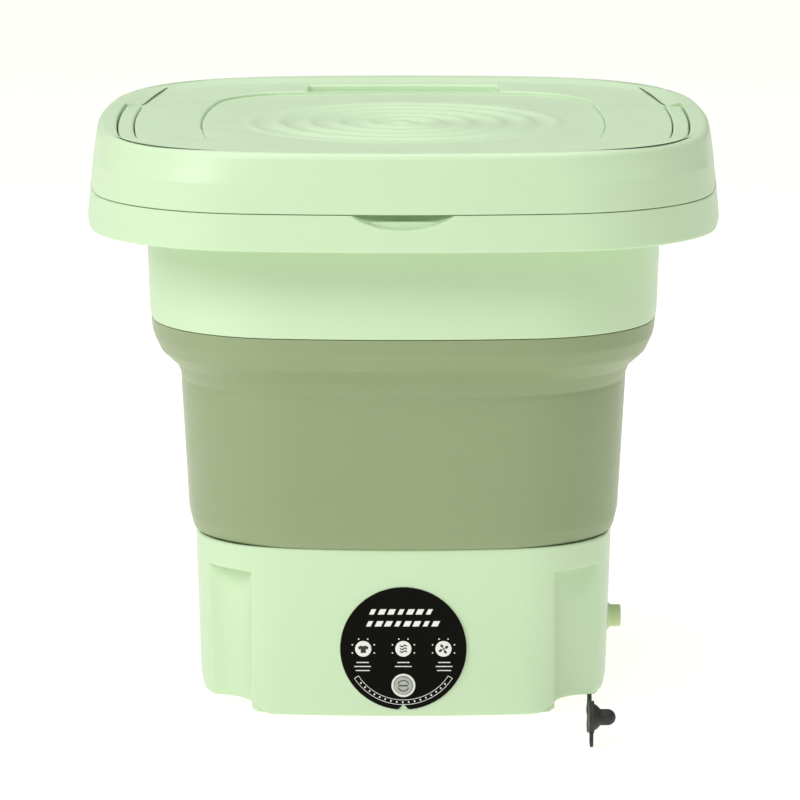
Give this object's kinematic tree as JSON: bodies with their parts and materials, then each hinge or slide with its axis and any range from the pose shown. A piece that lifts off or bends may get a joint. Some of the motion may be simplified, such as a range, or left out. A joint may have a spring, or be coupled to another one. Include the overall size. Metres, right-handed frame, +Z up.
{
  "type": "portable mini washer",
  "caption": "Square tub with a folding soft middle wall, on a base with a round control panel and pulsator drive, under a lift-off lid with a fold-flat handle.",
  "frame": {"origin": "centre of the footprint, on the surface that the feet stand on, without the tether and its plug", "axes": "+Z up, the control panel faces -Y, the drain spout points along +X"},
  "size_m": [0.2932, 0.302, 0.268],
  "materials": {
    "housing_plastic": "satin moulded polypropylene",
    "basin_plastic": "satin moulded polypropylene",
    "wall_elastomer": "soft translucent elastomer",
    "inner_plastic": "plain moulded",
    "gear_plastic": "acetal",
    "screw_steel": "bright zinc",
    "shaft_steel": "ground",
    "motor_steel": "plated can",
    "bush_bronze": "sintered bronze",
    "foot_rubber": "pale silicone",
    "hose_rubber": "matt rubber",
    "plug_rubber": "matt rubber",
    "seal_silicone": "pale silicone",
    "fascia_black": "high gloss",
    "lens_white": "clear white",
    "button_grey": "satin",
    "board_green": "solder resist",
    "chip_black": "moulded",
    "lead_red": "insulated wire"
  },
  "bodies": {
    "base": {"base_housing": "housing_plastic", "bottom_cover": "housing_plastic", "cover_screws": "screw_steel", "suction_feet": "foot_rubber", "folding_wall": "wall_elastomer", "tub_basin": "basin_plastic", "drain_strainer": "screw_steel", "drain_spout": "housing_plastic", "drain_hose": "hose_rubber", "tether_anchor": "housing_plastic", "tether_eye": "plug_rubber", "plug_tether": "plug_rubber", "drain_plug": "plug_rubber", "drive_plate": "inner_plastic", "drive_plate_screws": "screw_steel", "motor_body": "motor_steel", "motor_screws": "screw_steel", "lower_bush": "bush_bronze", "upper_bush": "bush_bronze", "shaft_seal": "hose_rubber", "control_fascia": "fascia_black", "mode_lens_left": "lens_white", "mode_lens_middle": "lens_white", "mode_lens_right": "lens_white", "button_ring": "lens_white", "control_board": "board_green", "board_lamps": "lens_white", "board_chip": "chip_black", "tact_switch": "chip_black", "board_carrier": "inner_plastic", "dc_jack": "chip_black", "jack_nut": "shaft_steel", "power_leads": "lead_red", "motor_leads": "lead_red"},
    "pulsator": {"drive_shaft": "shaft_steel", "drive_gear": "gear_plastic", "pulsator": "basin_plastic", "pulsator_screw": "screw_steel", "pulsator_cap": "basin_plastic"},
    "motor_rotor": {"motor_shaft": "shaft_steel", "motor_pinion": "gear_plastic"},
    "button": {"power_button": "button_grey"},
    "upper_frame": {"upper_frame": "housing_plastic", "rim_ring": "housing_plastic", "rim_skirt": "housing_plastic", "frame_clamp_ring": "basin_plastic"},
    "lid": {"lid_shell": "housing_plastic", "handle_pins": "shaft_steel", "lid_centre_panel": "housing_plastic", "lid_liner": "housing_plastic", "lid_seal": "seal_silicone"},
    "handle": {"carry_handle": "housing_plastic"}
  },
  "joints": [
    {"name": "fold", "type": "slide", "parent": "base", "child": "upper_frame", "axis": [0, 0, -1], "range_m": [0, 0.115], "deforming": ["folding_wall"]},
    {"name": "lid_lift", "type": "slide", "parent": "upper_frame", "child": "lid", "axis": [0, 0, 1], "range_m": [0, 0.12]},
    {"name": "handle_swing", "type": "hinge", "parent": "lid", "child": "handle", "pos_m": [0, 0.034, 0.2622], "axis": [-1, 0, 0], "range_deg": [0, 110]},
    {"name": "pulsator_spin", "type": "hinge", "parent": "base", "child": "pulsator", "pos_m": [0, 0, 0.05], "axis": [0, 0, 1], "continuous": true},
    {"name": "motor_spin", "type": "hinge", "parent": "base", "child": "motor_rotor", "pos_m": [0, 0.0336, 0.045], "axis": [0, 0, 1], "continuous": true},
    {"name": "button_press", "type": "slide", "parent": "base", "child": "button", "axis": [0, 0.9996, 0.0293], "range_m": [0, 0.0008], "stiffness_N_per_m": 500, "springref_m": -0.001}
  ],
  "couplings": [
    {"joint": "motor_spin", "follows": "pulsator_spin", "ratio": -6}
  ]
}
